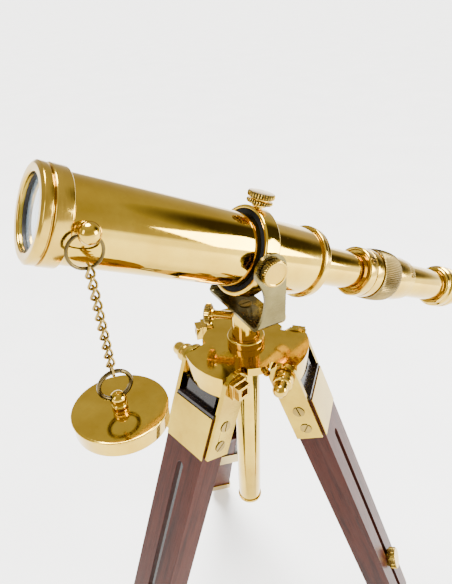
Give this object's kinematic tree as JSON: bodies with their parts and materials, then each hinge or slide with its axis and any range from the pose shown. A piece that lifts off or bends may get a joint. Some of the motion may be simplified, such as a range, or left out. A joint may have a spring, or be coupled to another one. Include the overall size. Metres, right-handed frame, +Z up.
{
  "type": "telescope on tripod",
  "caption": "Draw-tube brass telescope in a yoke mount with a sliding column, on a folding wooden tripod, with a lens cap on a chain.",
  "frame": {"origin": "on the floor, on the centre column's axis", "axes": "+Z up; the telescope's axis lies in the XZ plane with its objective towards -X and up; -Y is the side with the chain"},
  "size_m": [0.3965, 0.3205, 0.5364],
  "materials": {
    "brass": "polished",
    "dark_brass": "aged",
    "blackened_brass": "matte black",
    "leg_wood": "satin lacquer",
    "felt": "matte",
    "lens_glass": "coated"
  },
  "bodies": {
    "stand": {"crown": "brass", "column_bush": "brass", "pivot_bolts": "brass", "acorn_nuts": "brass"},
    "column_lock": {"column_lock_screw": "brass"},
    "column": {"centre_column": "brass", "column_cap": "brass"},
    "pan_lock": {"pan_lock_screw": "brass"},
    "fork": {"yoke": "brass", "yoke_spigot": "brass", "yoke_screw": "brass"},
    "cradle": {"mount_ring": "brass", "felt_liner": "felt"},
    "ring_lock": {"ring_screw": "brass"},
    "tilt_lock_near": {"tilt_knob_near": "brass"},
    "tilt_lock_far": {"tilt_knob_far": "brass"},
    "telescope": {"barrel": "brass", "objective_collar": "brass", "objective_ring": "brass", "objective_lens": "lens_glass", "lens_rings": "blackened_brass", "barrel_end_ring": "brass", "chain_stud": "brass"},
    "draw": {"draw_tube": "brass", "erector_cell": "blackened_brass", "erector_lenses": "lens_glass", "front_collar": "brass", "rear_collar": "brass", "collar_screws": "brass"},
    "focus": {"focus_ring": "brass"},
    "eyepiece": {"eyepiece_tube": "brass", "eyecup": "brass", "eyepiece_lenses": "lens_glass"},
    "top_ring": {"chain_ring": "dark_brass"},
    "chain_top": {"chain_upper": "brass"},
    "chain_bottom": {"chain_lower": "brass"},
    "bottom_ring": {"cap_ring": "dark_brass"},
    "cap": {"lens_cap": "brass", "cap_knob": "brass"},
    "leg_1": {"upper_leg_1": "leg_wood", "leg_ears_1": "brass", "leg_sheets_1": "brass", "ear_screws_1": "brass"},
    "lower_1": {"lower_leg_1": "leg_wood", "leg_foot_1": "brass"},
    "clamp_1": {"leg_clamp_1": "brass"},
    "leg_2": {"upper_leg_2": "leg_wood", "leg_ears_2": "brass", "leg_sheets_2": "brass", "ear_screws_2": "brass"},
    "lower_2": {"lower_leg_2": "leg_wood", "leg_foot_2": "brass"},
    "clamp_2": {"leg_clamp_2": "brass"},
    "leg_3": {"upper_leg_3": "leg_wood", "leg_ears_3": "brass", "leg_sheets_3": "brass", "ear_screws_3": "brass"},
    "lower_3": {"lower_leg_3": "leg_wood", "leg_foot_3": "brass"},
    "clamp_3": {"leg_clamp_3": "brass"}
  },
  "joints": [
    {"name": "column_lock_turn", "type": "hinge", "parent": "stand", "child": "column_lock", "pos_m": [0, 0, 0.38929], "axis": [-0.1478, -0.989, 0], "continuous": true},
    {"name": "column_rise", "type": "slide", "parent": "stand", "child": "column", "axis": [0, 0, 1], "range_m": [-0.005, 0.1]},
    {"name": "pan_lock_turn", "type": "hinge", "parent": "column", "child": "pan_lock", "pos_m": [0, 0, 0.41229], "axis": [-0.7431, 0.6691, 0], "continuous": true},
    {"name": "pan", "type": "hinge", "parent": "column", "child": "fork", "pos_m": [0, 0, 0.42029], "axis": [0, 0, 1], "continuous": true},
    {"name": "tilt", "type": "hinge", "parent": "fork", "child": "cradle", "pos_m": [0, 0, 0.46079], "axis": [0, 1, 0], "range_deg": [-18, 14]},
    {"name": "ring_lock_turn", "type": "hinge", "parent": "cradle", "child": "ring_lock", "pos_m": [0.01066, 0, 0.48649], "axis": [0.309, 0, 0.9511], "continuous": true},
    {"name": "tilt_lock_near_turn", "type": "hinge", "parent": "cradle", "child": "tilt_lock_near", "pos_m": [0, 0, 0.46079], "axis": [0, -1, 0], "continuous": true},
    {"name": "tilt_lock_far_turn", "type": "hinge", "parent": "cradle", "child": "tilt_lock_far", "pos_m": [0, 0, 0.46079], "axis": [0, 1, 0], "continuous": true},
    {"name": "tube_slide", "type": "slide", "parent": "cradle", "child": "telescope", "axis": [-0.9063, 0, 0.4226], "range_m": [-0.015, 0.035]},
    {"name": "draw_slide", "type": "slide", "parent": "telescope", "child": "draw", "axis": [-0.9063, 0, 0.4226], "range_m": [-0.05, 0.045]},
    {"name": "focus_turn", "type": "hinge", "parent": "draw", "child": "focus", "pos_m": [0, 0, 0.46079], "axis": [-0.9063, 0, 0.4226], "range_deg": [-150, 150]},
    {"name": "eyepiece_slide", "type": "slide", "parent": "draw", "child": "eyepiece", "axis": [-0.9063, 0, 0.4226], "range_m": [-0.0068, 0.0068]},
    {"name": "top_ring_swing", "type": "hinge", "parent": "telescope", "child": "top_ring", "pos_m": [-0.0959, -0.02769, 0.50926], "axis": [-0.9063, 0, 0.4226], "range_deg": [-6, 25]},
    {"name": "chain_top_swing", "type": "hinge", "parent": "top_ring", "child": "chain_top", "pos_m": [-0.09949, -0.02769, 0.49306], "axis": [0, 1, 0], "range_deg": [-36, 12]},
    {"name": "chain_bottom_swing", "type": "hinge", "parent": "chain_top", "child": "chain_bottom", "pos_m": [-0.09949, -0.02769, 0.45791], "axis": [1, 0, 0], "range_deg": [-35, 35]},
    {"name": "bottom_ring_swing", "type": "hinge", "parent": "chain_bottom", "child": "bottom_ring", "pos_m": [-0.09949, -0.02769, 0.43029], "axis": [0, 1, 0], "range_deg": [-18, 18]},
    {"name": "cap_swing", "type": "hinge", "parent": "bottom_ring", "child": "cap", "pos_m": [-0.09949, -0.02769, 0.41229], "axis": [1, 0, 0], "range_deg": [-25, 25]},
    {"name": "leg_1_fold", "type": "hinge", "parent": "stand", "child": "leg_1", "pos_m": [0.00921, 0.03012, 0.38429], "axis": [-0.9563, 0.2924, 0], "range_deg": [0, 21.5]},
    {"name": "leg_1_length", "type": "slide", "parent": "leg_1", "child": "lower_1", "axis": [0.1072, 0.3505, -0.9304], "range_m": [-0.085, 0.05]},
    {"name": "clamp_1_turn", "type": "hinge", "parent": "lower_1", "child": "clamp_1", "pos_m": [0.03332, 0.10898, 0.17495], "axis": [0.272, 0.8898, 0.3665], "continuous": true},
    {"name": "leg_2_fold", "type": "hinge", "parent": "stand", "child": "leg_2", "pos_m": [-0.03069, -0.00709, 0.38429], "axis": [0.225, -0.9744, 0], "range_deg": [0, 21.5]},
    {"name": "leg_2_length", "type": "slide", "parent": "leg_2", "child": "lower_2", "axis": [-0.3571, -0.0824, -0.9304], "range_m": [-0.085, 0.05]},
    {"name": "clamp_2_turn", "type": "hinge", "parent": "lower_2", "child": "clamp_2", "pos_m": [-0.11104, -0.02564, 0.17495], "axis": [-0.9066, -0.2093, 0.3665], "continuous": true},
    {"name": "leg_3_fold", "type": "hinge", "parent": "stand", "child": "leg_3", "pos_m": [0.02148, -0.02304, 0.38429], "axis": [0.7314, 0.682, 0], "range_deg": [0, 21.5]},
    {"name": "leg_3_length", "type": "slide", "parent": "leg_3", "child": "lower_3", "axis": [0.25, -0.268, -0.9304], "range_m": [-0.085, 0.05]},
    {"name": "clamp_3_turn", "type": "hinge", "parent": "lower_3", "child": "clamp_3", "pos_m": [0.07772, -0.08335, 0.17495], "axis": [0.6345, -0.6805, 0.3665], "continuous": true}
  ],
  "couplings": [
    {"joint": "focus_turn", "follows": "eyepiece_slide", "rad_per_m": 384}
  ]
}
